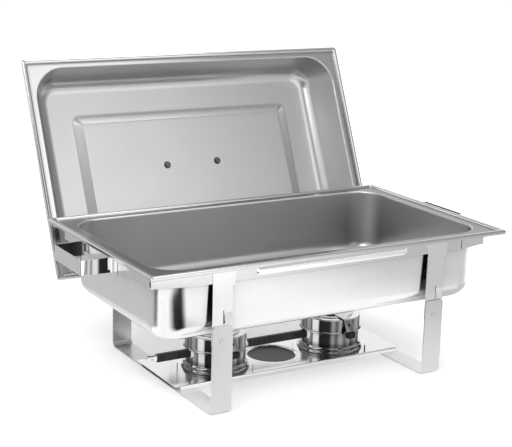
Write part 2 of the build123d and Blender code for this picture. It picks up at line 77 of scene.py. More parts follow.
def make_object(name, points, faces, materials, smooth=True):
    """Mesh object from points in millimetres. A face is (corners) or (corners, material)."""
    mesh = bpy.data.meshes.new(name)
    plain = [f[0] if isinstance(f[0], (tuple, list)) else f for f in faces]
    mesh.from_pydata([Vector(p) * MM for p in points], [], [tuple(f) for f in plain])
    for material in materials:
        mesh.materials.append(material)
    for polygon, face in zip(mesh.polygons, faces):
        polygon.use_smooth = smooth
        if isinstance(face[0], (tuple, list)):
            polygon.material_index = face[1]
    build = bmesh.new()
    build.from_mesh(mesh)
    bmesh.ops.remove_doubles(build, verts=build.verts, dist=0.002 * MM)
    bmesh.ops.recalc_face_normals(build, faces=build.faces)
    build.to_mesh(mesh)
    build.free()
    piece = bpy.data.objects.new(name, mesh)
    bpy.context.scene.collection.objects.link(piece)
    return piece


def even_shading(piece, angle=None):
    """Flat faces shade flat and rounded edges shade round."""
    if angle is not None:
        piece.data.set_sharp_from_angle(angle=math.radians(angle))
    modifier = piece.modifiers.new("even shading", "WEIGHTED_NORMAL")
    modifier.keep_sharp = True
    modifier.weight = 100
    return piece


def bridge(rings, faces, material=0, closed=True):
    """Quads between rings of point numbers that all have the same length."""
    for low, high in zip(rings, rings[1:]):
        count = len(low)
        for i in range(count if closed else count - 1):
            j = (i + 1) % count
            faces.append(((low[i], low[j], high[j], high[i]), material))


def rounded_outline(half_x, half_y, radius, corner=10, side=8):
    """Points round a rounded rectangle, always the same number of them."""
    points = []
    spans = ((1, 1, 0), (-1, 1, 90), (-1, -1, 180), (1, -1, 270))
    for sign_x, sign_y, start in spans:
        cx = sign_x * (half_x - radius)
        cy = sign_y * (half_y - radius)
        for k in range(corner + 1):
            a = math.radians(start + 90 * k / corner)
            points.append((cx + radius * math.cos(a), cy + radius * math.sin(a)))
    full = []
    for i, p in enumerate(points):
        q = points[(i + 1) % len(points)]
        full.append(p)
        if (i + 1) % (corner + 1) == 0:
            for k in range(1, side):
                t = k / side
                full.append((p[0] + (q[0] - p[0]) * t, p[1] + (q[1] - p[1]) * t))
    return full


def stacked_rings(profile, place, corner=10, side=8):
    """Rings of points from (half x, half y, radius, height) rows."""
    points, rings = [], []
    for half_x, half_y, radius, height in profile:
        start = len(points)
        for x, y in rounded_outline(half_x, half_y, radius, corner, side):
            points.append(place(x, y, height))
        rings.append(list(range(start, len(points))))
    return points, rings


# --- steel and other materials ------------------------------------------------------------
def node_material(name):
    """New node material with its tree and its Principled shader."""
    material = bpy.data.materials.new(name)
    material.use_nodes = True
    tree = material.node_tree
    shader = tree.nodes["Principled BSDF"]
    return material, tree, shader


def noise(tree, scale, stretch=(1, 1, 1), detail=4.0):
    """Noise in the object's own space; stretch is how many times finer it is along each axis."""
    where = tree.nodes.new("ShaderNodeTexCoord")
    mapping = tree.nodes.new("ShaderNodeMapping")
    mapping.inputs["Scale"].default_value = stretch
    tree.links.new(where.outputs["Object"], mapping.inputs["Vector"])
    texture = tree.nodes.new("ShaderNodeTexNoise")
    texture.inputs["Scale"].default_value = scale
    texture.inputs["Detail"].default_value = detail
    tree.links.new(mapping.outputs["Vector"], texture.inputs["Vector"])
    return texture.outputs["Fac"]


def spread(tree, value, low, high):
    """Map a 0.3 to 0.7 noise value onto low to high."""
    node = tree.nodes.new("ShaderNodeMapRange")
    node.inputs["From Min"].default_value = 0.3
    node.inputs["From Max"].default_value = 0.7
    node.inputs["To Min"].default_value = low
    node.inputs["To Max"].default_value = high
    tree.links.new(value, node.inputs["Value"])
    return node.outputs["Result"]


def mixed(tree, factor, first, second):
    """Colour between two, by a factor from 0 to 1."""
    node = tree.nodes.new("ShaderNodeMix")
    node.data_type = "RGBA"
    node.inputs["A"].default_value = (*first, 1)
    node.inputs["B"].default_value = (*second, 1)
    tree.links.new(factor, node.inputs["Factor"])
    return node.outputs["Result"]


def added(tree, first, second):
    """Sum of two values."""
    node = tree.nodes.new("ShaderNodeMath")
    node.operation = "ADD"
    tree.links.new(first, node.inputs[0])
    tree.links.new(second, node.inputs[1])
    return node.outputs["Value"]


def bumped(tree, shader, height):
    """Bump from a height in metres."""
    node = tree.nodes.new("ShaderNodeBump")
    node.inputs["Distance"].default_value = 1.0
    tree.links.new(height, node.inputs["Height"])
    tree.links.new(node.outputs["Normal"], shader.inputs["Normal"])


def steel(name, tone, rough, grain=(1, 1, 1), grain_scale=900, grain_depth=0.0,
          wave_depth=0.0, wave_scale=9, smudge=0.03, tint=0.04, shade=0.0):
    """Stainless steel: grain along one direction, soft waviness and faint smudges; with shade
    given, painted shade in creases and under edges.
    """
    material, tree, shader = node_material(name)
    shader.inputs["Metallic"].default_value = 1.0
    dark = tuple(c * (1 - tint) for c in (tone, tone, tone * 1.005))
    light = tuple(min(c * (1 + tint), 1) for c in (tone, tone, tone * 1.005))
    fine = noise(tree, grain_scale, grain, 3)
    cloud = noise(tree, 14, (1, 1, 1), 5)
    colour = mixed(tree, spread(tree, fine, 0, 1), dark, light)
    # painted shade: ambient occlusion darkens the base colour in creases and under edges
    if shade:
        colour = with_painted_shade(tree, colour, shade)
    tree.links.new(colour, shader.inputs["Base Color"])
    base = spread(tree, fine, rough * 0.96, rough * 1.04)
    tree.links.new(added(tree, base, spread(tree, cloud, 0, smudge)),
                   shader.inputs["Roughness"])
    if wave_depth or grain_depth:
        wave = noise(tree, wave_scale, (1, 1, 1), 1)
        height = added(tree, spread(tree, wave, 0, wave_depth), spread(tree, fine, 0, grain_depth))
        bumped(tree, shader, height)
    return material


def with_painted_shade(tree, colour, distance):
    """Colour with painted shade: darkened by ambient occlusion in creases and under edges closer
    than the distance.
    """
    hollow = tree.nodes.new("ShaderNodeAmbientOcclusion")
    hollow.samples = 8
    hollow.inputs["Distance"].default_value = distance
    mix = tree.nodes.new("ShaderNodeMix")
    mix.data_type = "RGBA"
    mix.inputs["A"].default_value = (0.12, 0.12, 0.12, 1)
    tree.links.new(colour, mix.inputs["B"])
    tree.links.new(hollow.outputs["AO"], mix.inputs["Factor"])
    return mix.outputs["Result"]


def dark_plastic(name, tone, rough):
    """Almost black moulded plastic with a fine grain."""
    material, tree, shader = node_material(name)
    fine = noise(tree, 2500, (1, 1, 1), 2)
    cloud = noise(tree, 60, (1, 1, 1), 3)
    base = (tone, tone, tone * 1.03)
    tree.links.new(mixed(tree, spread(tree, cloud, 0, 1), base, tuple(c * 1.6 for c in base)),
                   shader.inputs["Base Color"])
    tree.links.new(spread(tree, cloud, rough * 0.8, rough * 1.25), shader.inputs["Roughness"])
    shader.inputs["Specular IOR Level"].default_value = 0.2
    bumped(tree, shader, spread(tree, fine, 0, 0.00003))
    return material


# --- trays: water pan and lid -------------------------------------------------------------
def well_rows(mouth, floor, top, depth, floor_radius, steps=8):
    """Rows down a drafted wall and round its lower edge, as (half x, half y, radius, z)."""
    half = [(mouth[i] / 2, floor[i] / 2) for i in (0, 1)]
    bottom = top - depth
    drafts = [math.atan2(a - b, depth) for a, b in half]
    turn = math.pi / 2 - min(drafts)
    touch = floor_radius * math.tan(turn / 2) * math.cos(min(drafts))
    rows = []
    for k in range(5):
        t = k / 4
        z = top - (depth - touch) * t
        fall = (top - z) / depth
        sizes = [a + (b - a) * fall for a, b in half]
        rows.append((*sizes, mouth[2] + (floor[2] - mouth[2]) * fall, z))
    for k in range(1, steps + 1):
        phi = turn * (1 - k / steps)
        z = bottom + floor_radius * (1 - math.cos(phi))
        lift = floor_radius - (z - bottom)
        sizes = []
        for (a, b), draft in zip(half, drafts):
            reach = floor_radius * math.tan((math.pi / 2 - draft) / 2)
            sizes.append(b - reach + math.sqrt(max(floor_radius ** 2 - lift ** 2, 0)))
        wall = half[0][0] + (half[0][1] - half[0][0]) * (top - z) / depth
        radius = floor[2] - (wall - sizes[0]) * 0.9
        rows.append((*sizes, max(radius, 6), z))
    return rows


def tray_profile(rim, mouth, floor, depth, floor_radius, bead, rise, lip, panel=None):
    """Closed section of a pressed tray, from the inner floor over the rim to the outer floor.
    Returns the rows, and the row numbers where the inside and then the rim end."""
    sheet = 1.0
    hx, hy = rim[0] / 2, rim[1] / 2
    top = -rise
    inner_mouth = (mouth[0] - 2 * sheet, mouth[1] - 2 * sheet, mouth[2] - sheet)
    inner_floor = (floor[0] - 2 * sheet, floor[1] - 2 * sheet, floor[2] - sheet)
    inside = well_rows(inner_mouth, inner_floor, top - LIP_BEND, depth - LIP_BEND - sheet,
                       floor_radius - 1)[::-1]
    centre = panel_rows(panel, inside[0], 1.0) if panel else flat_rows(inside[0])
    mx, my = inner_mouth[0] / 2, inner_mouth[1] / 2
    mouth_bend = [(mx + 2.4 * (1 - math.cos(a)), my + 2.4 * (1 - math.cos(a)),
                   inner_mouth[2] + 2.4 * (1 - math.cos(a)), top - 2.4 * (1 - math.sin(a)))
                  for a in (math.radians(v) for v in (22, 45, 68, 90))]
    bx, by = hx - bead, hy - bead
    rim_rows = [
        (bx - 2.0, by - 2.0, 5, top), (bx - 0.9, by - 0.9, 4, top),
        (bx - 0.35, by - 0.35, 3.6, top - 0.2), (bx - 0.05, by - 0.05, 3.3, top + 0.3),
        (bx, by, 3.2, -1.6), (bx + 0.35, by + 0.35, 3.4, -0.95), (bx + 1.1, by + 1.1, 3.6, -0.45),
        (bx + 2.2, by + 2.2, 3.8, -0.12), (bx + 3.4, by + 3.4, 3.9, 0),
        (hx - 3.4, hy - 3.4, 3.9, 0), (hx - 2.2, hy - 2.2, 3.9, -0.15),
        (hx - 1.1, hy - 1.1, 4, -0.6), (hx - 0.35, hy - 0.35, 4, -1.3), (hx, hy, 4, -2.3),
        (hx, hy, 4, -lip + 0.4), (hx - 0.3, hy - 0.3, 4, -lip), (hx - 0.8, hy - 0.8, 3.6, -lip),
    ]
    under = [
        (hx - 1, hy - 1, 3.5, -lip + 0.3), (hx - 1, hy - 1, 3.5, -1.6),
        (hx - 2, hy - 2, 3.2, -1.0), (bx + 2, by + 2, 3, -1.0), (bx + 1, by + 1, 3, -1.8),
        (bx + 1, by + 1, 3, top - 0.6), (bx + 0.6, by + 0.6, 3, top - 1),
        (bx - 1, by - 1, 3.5, top - 1),
        (mouth[0] / 2 + 2.0, mouth[1] / 2 + 2.0, mouth[2] + 2, top - sheet),
        (mouth[0] / 2 + 1.0, mouth[1] / 2 + 1.0, mouth[2] + 1, top - sheet),
        (mouth[0] / 2 + 0.3, mouth[1] / 2 + 0.3, mouth[2] + 0.3, top - sheet - 0.3),
    ]
    outside = well_rows(mouth, floor, top - LIP_BEND, depth - LIP_BEND, floor_radius)
    last = panel_rows(panel, outside[-1], 0)[::-1] if panel else flat_rows(outside[-1])[::-1]
    rows = centre + inside + mouth_bend + rim_rows + under + outside + last
    inner_count = len(centre + inside + mouth_bend)
    return rows, inner_count, inner_count + len(rim_rows)


def flat_rows(edge):
    """Rows from the middle of a flat floor out to its edge."""
    half_x, half_y, radius, z = edge
    return [(half_x * t, half_y * t, max(radius * t, 1), z) for t in (0.12, 0.5, 0.85)]


def panel_rows(panel, edge, sheet):
    """Rows over the lid's stepped panel, from its middle out to the floor's edge."""
    length, width, radius, slope, rise = panel
    _, _, _, floor_z = edge
    hx, hy = length / 2 - sheet * 0.4, width / 2 - sheet * 0.4
    px, py = hx - slope, hy - slope
    high = floor_z + rise
    return [
        (px * 0.12, py * 0.12, 1, high), (px * 0.5, py * 0.5, 2, high),
        (px * 0.82, py * 0.82, 3, high), (px - 3, py - 3, 3, high),
        (px - 0.8, py - 0.8, 3, high - 0.05), (px, py, 3.2, high - 0.2),
        (px + 0.8, py + 0.8, 3.6, high - 0.5),
        (hx - 1.6, hy - 1.6, radius - 1, floor_z + 0.65),
        (hx - 0.6, hy - 0.6, radius, floor_z + 0.28),
        (hx + 0.6, hy + 0.6, radius + 1, floor_z + 0.04), (hx + 3, hy + 3, radius + 3, floor_z),
    ]


def make_tray(name, place, materials, **section):
    """Pressed tray; its materials are for the inside, flange, rim and outside."""
    rows, inner, rim = tray_profile(**section)
    points, rings = stacked_rings(rows, place, 12, 10)
    faces = [(tuple(rings[0]), 0)]
    for i in range(len(rings) - 1):
        zone = 0 if i < inner - 1 else 1 if i < inner else 2 if i < rim else 3
        bridge(rings[i:i + 2], faces, zone)
    faces.append((tuple(reversed(rings[-1])), 3))
    return even_shading(make_object(name, points, faces, materials))


def make_water_pan():
    """Water pan as one pressed sheet, well and rolled rim together."""
    low, high = full_box("water_pan", "water_pan_rim")
    cx, cy = (low.x + high.x) / 2, (low.y + high.y) / 2
    pan = make_tray(
        "water_pan_sheet", lambda x, y, z: (cx + x, cy + y, high.z + z),
        [MATERIALS["pan_in"], MATERIALS["flange"], MATERIALS["rim"], MATERIALS["pan_out"]],
        rim=(high.x - low.x, high.y - low.y), mouth=(533, 293, 43), floor=(525, 285, 38),
        depth=high.z - low.z - 2.7, floor_radius=24, bead=8, rise=2.7, lip=6)
    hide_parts("water_pan", "water_pan_rim")
    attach(pan, "water_pan")


def lid_place():
    """Function from the lid's own millimetres to the row frame's millimetres."""
    low, high = full_box("lid", "lid_rim")
    up = Vector((0, math.sin(LID_LEAN), math.cos(LID_LEAN)))
    out = Vector((0, -math.cos(LID_LEAN), math.sin(LID_LEAN)))
    foot = Vector(((low.x + high.x) / 2, LID_FOOT_Y, LID_FOOT_Z))
    middle = foot + up * LID_WIDTH / 2

    def place(x, y, z):
        return middle + Vector((x, 0, 0)) + up * y + out * z
    return place


def make_lid():
    """Lid as one pressed sheet, standing on edge with its inside to the front."""
    lid = make_tray(
        "lid_sheet", lid_place(),
        [MATERIALS["lid_in"], MATERIALS["lid_rim"], MATERIALS["lid_rim"], MATERIALS["lid_out"]],
        rim=(570, LID_WIDTH), mouth=(537, 311, 49), floor=(493, 293, 31), depth=58, floor_radius=22,
        bead=7, rise=4.3, lip=5.3, panel=(391, 183, 12, 14.5, 5.5))
    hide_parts("lid", "lid_rim")
    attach(lid, "lid")


# --- strips -------------------------------------------------------------------------------
def bent_path(points, radius, steps=8):
    """2-D polyline whose corners are rounded."""
    points = [Vector(p) for p in points]
    path = [points[0]]
    for before, at, after in zip(points, points[1:], points[2:]):
        first, second = (before - at).normalized(), (after - at).normalized()
        half = first.angle(second) / 2
        run = radius / math.tan(half)
        centre = at + (first + second).normalized() * (radius / math.sin(half))
        a, b = at + first * run - centre, at + second * run - centre
        turn = a.angle_signed(b)
        for k in range(steps + 1):
            angle = -turn * k / steps
            spin = Matrix.Rotation(angle, 2)
            path.append(centre + spin @ a)
    path.append(points[-1])
    return path


def make_strip(name, points, radius, thickness, width, place, materials, end_round=(0, 0),
               edge=0.35, steps=8):
    """Bent strip. place(u, v, w) gives the point; the path is in u and v, the width along w."""
    path = bent_path(points, radius, steps)
    dense = [path[0]]
    for a, b in zip(path, path[1:]):
        pieces = max(int((b - a).length / 40), 1)
        dense += [a + (b - a) * (k / pieces) for k in range(1, pieces + 1)]
    path = dense
    if end_round[0]:
        path = end_stations(path, end_round[0])
    if end_round[1]:
        path = end_stations(path[::-1], end_round[1])[::-1]
    lengths = [0.0]
    for a, b in zip(path, path[1:]):
        lengths.append(lengths[-1] + (b - a).length)
    low, high = width
    middle, half = (low + high) / 2, (high - low) / 2
    t = thickness / 2
    verts, rings = [], []
    for i, p in enumerate(path):
        before = (p - path[i - 1]).normalized() if i else (path[1] - p).normalized()
        after = (path[i + 1] - p).normalized() if i + 1 < len(path) else before
        along = (before + after).normalized()
        normal = Vector((-along.y, along.x)) / max(along.dot(before), 0.3)
        reach = half
        for distance, radius_end in ((lengths[i], end_round[0]),
                                     (lengths[-1] - lengths[i], end_round[1])):
            if radius_end and distance < radius_end:
                drop = radius_end - distance
                reach = min(reach, half - radius_end
                            + math.sqrt(max(radius_end ** 2 - drop ** 2, 0)))
        e = min(edge, t * 0.9)
        section = [(-t, -reach + e), (-t + e * 0.3, -reach + e * 0.3), (-t + e, -reach),
                   (t - e, -reach), (t - e * 0.3, -reach + e * 0.3), (t, -reach + e),
                   (t, reach - e), (t - e * 0.3, reach - e * 0.3), (t - e, reach),
                   (-t + e, reach), (-t + e * 0.3, reach - e * 0.3), (-t, reach - e)]
        start = len(verts)
        for off, w in section:
            q = p + normal * off
            verts.append(place(q.x, q.y, middle + w))
        rings.append(list(range(start, len(verts))))
    faces = [(tuple(rings[0]), 0), (tuple(reversed(rings[-1])), 0)]
    bridge(rings, faces)
    return even_shading(make_object(name, verts, faces, materials), 40)


def end_stations(path, radius):
    """Extra path points near the start, for a rounded end."""
    start, along = path[0], (path[1] - path[0]).normalized()
    marks = [radius * (1 - math.cos(math.radians(a))) for a in (0.5, 15, 30, 45, 60, 75, 90)]
    return [start + along * m for m in marks] + [p for p in path[1:]
                                                 if (p - start).length > radius + 0.5]


def in_side(u, v, w):
    """Point of a strip that is bent as seen from the side."""
    return Vector((w, u, v))


def bent_end_y(x):
    """How far from the middle a long rail's bent end is at x."""
    return FRAME_Y - RAIL_T / 2 - (abs(x) - BEND_X) * (FRAME_Y - CORNER_Y) / (FRAME_X - BEND_X)


def turned_plan(turn):
    """Place for a strip bent as seen from above, turned half round if asked."""
    sign = -1 if turn else 1
    return lambda u, v, w: Vector((sign * u, FRAME_MIDDLE + sign * v, w))


def finish_piece(piece, node, body):
    """Hide the CAD node that the piece stands in for, and hang the piece on the body it rides on.
    """
    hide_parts(node)
    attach(piece, body)
    return piece


def pad_rows(length, height, depth):
    """Raised rib with soft sides: rows of (half x, half y, radius, rise)."""
    hx, hy = length / 2, height / 2
    steps = ((0, 0), (1.0, 0.25), (2.2, 0.58), (3.3, 0.84), (4.4, 0.96), (5.2, 1))
    return [(hx - inward, hy - inward, max(6.4 - inward, 1), depth * rise)
            for inward, rise in steps]


def make_rib(y_face, low_z, high_z):
    """Long pressed rib on the front rail's face."""
    middle_z = low_z + (high_z - low_z) * 0.45
    points, rings = stacked_rings(pad_rows(248, 13, 1.2), lambda x, y, z: (
        x, y_face - z, middle_z + y - 2.2 * z), 6, 12)
    faces = [(tuple(rings[-1]), 0)]
    bridge(rings, faces)
    # the rib's material is brighter than the rail's: painted highlight
    return even_shading(make_object("rail_rib", points, faces, [MATERIALS["rib"]]))


def make_rails():
    """Two long rails with bent ends, two side rails, and the rib."""
    low, high = mm_box("front_rail")
    zs = (low.z, high.z)
    y = -FRAME_Y + RAIL_T / 2
    end = -FRAME_X + RAIL_T + 0.2
    x = FRAME_X - RAIL_T / 2
    long_rail = [(BEND_X - SEAM, y), (-BEND_X, y), (end, -bent_end_y(end))]
    side_rail = [(BEND_X, y), (x, -bent_end_y(x)), (x, bent_end_y(x) - 2 * SEAM)]
    for node, points, turn in (("front_rail", long_rail, False), ("rear_rail", long_rail, True),
                               ("right_rail", side_rail, False), ("left_rail", side_rail, True)):
        rail = make_strip(node + "_strip", points, 4, RAIL_T, zs, turned_plan(turn),
                          [MATERIALS["rail"]])
        finish_piece(rail, node, "frame")
    rib = make_rib(FRAME_MIDDLE - FRAME_Y, *zs)
    finish_piece(rib, "front_rail", "frame")


def make_legs():
    """Two legs, each one strip bent into a U, just outside the brackets."""
    bracket, gap, thickness = 1.5, 0.2, 2.0
    y = FRAME_Y + bracket + gap + thickness / 2
    bottom = thickness / 2
    m = FRAME_MIDDLE
    for node in ("left_leg", "right_leg"):
        low, high = mm_box(node)
        points = [(m - y, high.z), (m - y, bottom), (m + y, bottom), (m + y, high.z)]
        leg = make_strip(node + "_strip", points, 9, thickness, (low.x, high.x), in_side,
                         [MATERIALS["leg"]], end_round=(5, 5), steps=10)
        finish_piece(leg, node, node)


def make_side_handles():
    """Strap loops on the side rails."""
    for node, side in (("right_handle", 1), ("left_handle", -1)):
        low, high = mm_box(node)
        near, far = FRAME_X + 1.0, FRAME_X + 47.0
        front, back = -31.0, 63.0
        points = [(near, front - 16), (near, front), (far, front), (far, back), (near, back),
                  (near, back + 16)]
        handle = make_strip(node + "_strip", points, 5, 2.0, (low.z, high.z),
                            lambda u, v, w: Vector((side * u, FRAME_MIDDLE + v, w)),
                            [MATERIALS["handle"]])
        finish_piece(handle, node, "frame")


# --- turned pieces ------------------------------------------------------------------------
def make_turned(name, outline, centre, materials, turns=96):
    """Solid turned about Z from (radius, z) points that start and end on the axis."""
    verts, rings = [], []
    for radius, z in outline:
        start = len(verts)
        for k in range(turns):
            a = 2 * math.pi * k / turns
            verts.append((centre[0] + radius * math.cos(a), centre[1] + radius * math.sin(a), z))
        rings.append(list(range(start, len(verts))))
    faces = [(tuple(reversed(rings[0])), 0), (tuple(rings[-1]), 0)]
    bridge(rings, faces)
    return even_shading(make_object(name, verts, faces, materials), 50)


def rounded_outline_rz(points, radius):
    """Turned outline whose corners are softened."""
    soft = [points[0]]
    for before, at, after in zip(points, points[1:], points[2:]):
        at_v, b_v, a_v = Vector(at), Vector(before), Vector(after)
        reach = min(radius, (b_v - at_v).length * 0.45, (a_v - at_v).length * 0.45)
        p, q = at_v + (b_v - at_v).normalized() * reach, at_v + (a_v - at_v).normalized() * reach
        for t in (0.0, 0.33, 0.67, 1.0):
            one = p.lerp(at_v, t)
            two = at_v.lerp(q, t)
            soft.append(tuple(one.lerp(two, t)))
    soft.append(points[-1])
    return soft


def make_burner(name):
    """Cup of one burner, with its flared and stepped foot."""
    low, high = mm_box(f"burner_cup_{name}")
    cx, cy = (low.x + high.x) / 2, (low.y + high.y) / 2
    z = low.z
    top = high.z
    r = 45.0
    cup = rounded_outline_rz([
        (0.4, z + 0.02), (r - 4, z + 0.02), (49.6, z), (50, z + 0.8), (49.6, z + 2.0),
        (r + 2.6, z + 3.0), (r + 1.4, z + 4.2), (r + 2.4, z + 5.6), (r + 2.4, z + 7.4),
        (r + 0.8, z + 8.8), (r - 0.6, z + 9.6), (r - 0.6, top), (r - 1.6, top), (r - 1.6, z + 4),
        (0.4, z + 4)], 0.6)
    piece = make_turned(f"burner_cup_{name}_body", cup, (cx, cy), [MATERIALS["burner"]])
    finish_piece(piece, f"burner_cup_{name}", "burners")


def make_cover_ring(name):
    """Skirt and rolled edge of the cover; its top plate stays the CAD one's shape."""
    low, high = mm_box(f"burner_cover_{name}")
    cx, cy = (low.x + high.x) / 2, (low.y + high.y) / 2
    z, top = low.z, high.z
    r = 45.6
    outline = rounded_outline_rz([
        (r - 1, z + 0.2), (r + 1.4, z), (r + 2.2, z + 0.9), (r + 2.2, z + 1.7),
        (r + 1.4, z + 2.6), (r, z + 3.2), (r, top - 2.4), (r - 0.6, top - 0.8),
        (r - 2.0, top), (36.0, top)], 0.5)
    verts, rings = [], []
    inner = [(36.0, top - 1), (r - 2.4, top - 1), (r - 1, top - 2.4), (r - 1, z + 0.2)]
    turns = 96
    loop = outline + inner
    for radius, height in loop:
        start = len(verts)
        for k in range(turns):
            a = 2 * math.pi * k / turns
            verts.append((cx + radius * math.cos(a), cy + radius * math.sin(a), height))
        rings.append(list(range(start, len(verts))))
    faces = []
    bridge(rings + [rings[0]], faces)
    skirt = even_shading(make_object(f"burner_cover_{name}_skirt", verts, faces,
                                     [MATERIALS["burner"]]), 50)
    finish_piece(skirt, f"burner_cover_{name}", "burners")
    plate = vented_disc(f"burner_cover_{name}_top", (cx, cy), 36.0, top - 1, top,
                        MATERIALS["burner"])
    finish_piece(plate, f"burner_cover_{name}", "burners")


def vented_disc(name, centre, radius, low, high, material, vent=9.0, circle=22.0, count=3):
    """Disc with round vents, cut with booleans that are applied."""
    disc = make_turned(name, [(0.01, low), (radius, low), (radius, high), (0.01, high)],
                       centre, [material], 72)
    disc.modifiers.clear()
    for k in range(count):
        a = 2 * math.pi * k / count
        at = (centre[0] + circle * math.cos(a), centre[1] + circle * math.sin(a))
        cutter = make_turned("cutter", [(0.01, low - 5), (vent, low - 5), (vent, high + 5),
                                        (0.01, high + 5)], at, [material], 48)
        cutter.modifiers.clear()
        cut = disc.modifiers.new("vent", "BOOLEAN")
        cut.operation = "DIFFERENCE"
        cut.object = cutter
        cut.solver = "EXACT"
        apply_modifiers(disc)
        bpy.data.objects.remove(cutter)
    bevel = disc.modifiers.new("edges", "BEVEL")
    bevel.width = 0.25 * MM
    bevel.segments = 2
    bevel.limit_method = "ANGLE"
    bevel.angle_limit = math.radians(40)
    apply_modifiers(disc)
    return even_shading(disc, 40)


def apply_modifiers(piece):
    """Turn the modifiers into mesh."""
    graph = bpy.context.evaluated_depsgraph_get()
    mesh = bpy.data.meshes.new_from_object(piece.evaluated_get(graph))
    piece.modifiers.clear()
    piece.data = mesh


def make_damper(name):
    """Vented disc, its lever and the knob on the lever."""
    low, high = mm_box(f"damper_disc_{name}")
    cx, cy = (low.x + high.x) / 2, (low.y + high.y) / 2
    disc = vented_disc(f"damper_disc_{name}_plate", (cx, cy), 34.0, low.z, high.z,
                       MATERIALS["damper"])
    finish_piece(disc, f"damper_disc_{name}", f"damper_{name}")
    low, high = mm_box(f"damper_lever_{name}")
    top = high.z - 0.6
    tip_y, brink = low.y + 0.5, cy - 46.5
    points = [(cy - 12, top), (brink, top), (tip_y, low.z + 0.3)]
    lever = make_strip(f"damper_lever_{name}_strip", points, 3, 1.2, (cx - 6.5, cx + 6.5),
                       in_side, [MATERIALS["damper"]], end_round=(4, 0))
    finish_piece(lever, f"damper_lever_{name}", f"damper_{name}")
    low, high = mm_box(f"lever_knob_{name}")
    knob = rounded_block(f"lever_knob_{name}_grip", low, high, 2.2, [MATERIALS["black"]],
                         grooves=3)
    finish_piece(knob, f"lever_knob_{name}", f"damper_{name}")


def rounded_block(name, low, high, radius, materials, grooves=0):
    """Moulded block: rounded all over, with shallow grip grooves across its lower half."""
    low, high = Vector(low), Vector(high)
    centre, half = (low + high) / 2, (high - low) / 2
    build = bmesh.new()
    bmesh.ops.create_cube(build, size=2)
    for v in build.verts:
        v.co = Vector((v.co.x * half.x, v.co.y * half.y, v.co.z * half.z)) + centre
    bmesh.ops.bevel(build, geom=list(build.edges), offset=radius, segments=4, profile=0.5,
                    affect="EDGES")
    for k in range(grooves):
        z = low.z + (high.z - low.z) * (0.25 + 0.25 * k)
        for offset in (-0.7, 0, 0.7):
            geometry = list(build.verts) + list(build.edges) + list(build.faces)
            bmesh.ops.bisect_plane(build, geom=geometry, plane_co=(0, 0, z + offset),
                                   plane_no=(0, 0, 1))
        for v in build.verts:
            if abs(v.co.z - z) < 0.05:
                out = Vector((v.co.x - centre.x, v.co.y - centre.y, 0))
                v.co -= out.normalized() * 0.5
    points = [v.co.copy() for v in build.verts]
    build.verts.index_update()
    faces = [(tuple(v.index for v in f.verts), 0) for f in build.faces]
    build.free()
    return even_shading(make_object(name, points, faces, materials), 50)


# --- fuel shelf ---------------------------------------------------------------------------
def make_shelf():
    """Fuel shelf: plate with a pressed dish, and a turned-down lip front and back."""
    low, high = mm_box("fuel_shelf")
    cx, cy = (low.x + high.x) / 2, (low.y + high.y) / 2
    top = high.z
    half_x, half_y = (high.x - low.x) / 2, (high.y - low.y) / 2
    bend = 2.0
    flat_y = half_y - bend
    count = 96
    dish = [(30.0, -3.7), (34.0, -3.4), (36.2, -2.2), (37.2, -0.9), (38.2, -0.25), (39.6, -0.02),
            (42.0, 0.0)]
    verts, rings = [], []

    def add_ring(points):
        start = len(verts)
        verts.extend(points)
        rings.append(list(range(start, len(verts))))

    for radius, drop in [(4.0, -3.7)] + dish:
        add_ring([(cx + radius * math.cos(2 * math.pi * k / count),
                   cy + radius * math.sin(2 * math.pi * k / count), top + drop)
                  for k in range(count)])
    corner = math.atan2(flat_y, half_x)
    quarter = count // 4
    angles = []
    for k in range(quarter // 2):
        angles.append(corner * k / (quarter // 2))
    for k in range(quarter - quarter // 2):
        angles.append(corner + (math.pi / 2 - corner) * k / (quarter - quarter // 2))
    first = angles + [math.pi / 2]
    full = first[:-1] + [math.pi - a for a in reversed(first)][:-1]
    full += [a + math.pi for a in full]

    def on_edge(a):
        c, s = math.cos(a), math.sin(a)
        reach = min(half_x / abs(c) if abs(c) > 1e-9 else 1e9,
                    flat_y / abs(s) if abs(s) > 1e-9 else 1e9)
        return c * reach, s * reach

    for t in (0.45, 1.0):
        add_ring([(cx + (42 * math.cos(a)) * (1 - t) + on_edge(a)[0] * t,
                   cy + (42 * math.sin(a)) * (1 - t) + on_edge(a)[1] * t, top) for a in full])
    rim = rings[-1]
    faces = [(tuple(rings[0]), 1)]
    bridge(rings[:4], faces, 1)
    bridge(rings[3:], faces)
    top_count = len(verts)
    under = [(x, y, z - 0.9) for x, y, z in verts]
    verts.extend(under)
    lower = [tuple(i + top_count for i in reversed(f[0])) for f in faces]
    faces += [(f, 0) for f in lower]
    bridge([rim, [i + top_count for i in rim]], faces)
    # the dish rings take the near-black dish material: painted shade in the recess
    plate = even_shading(make_object("fuel_shelf_plate", verts, faces,
                                     [MATERIALS["shelf"], MATERIALS["dish"]]), 60)
    finish_piece(plate, "fuel_shelf", "fuel_shelf")
    for side in (-1, 1):
        path = [(cy + side * (flat_y - 0.5), top - 0.5), (cy + side * (half_y - 0.5), top - 0.5),
                (cy + side * (half_y - 0.5), low.z)]
        lip = make_strip(f"fuel_shelf_lip_{'front' if side < 0 else 'back'}", path, 1.6, 1.0,
                         (low.x + 8, high.x - 8), in_side, [MATERIALS["shelf"]], edge=0.2)
        finish_piece(lip, "fuel_shelf", "fuel_shelf")


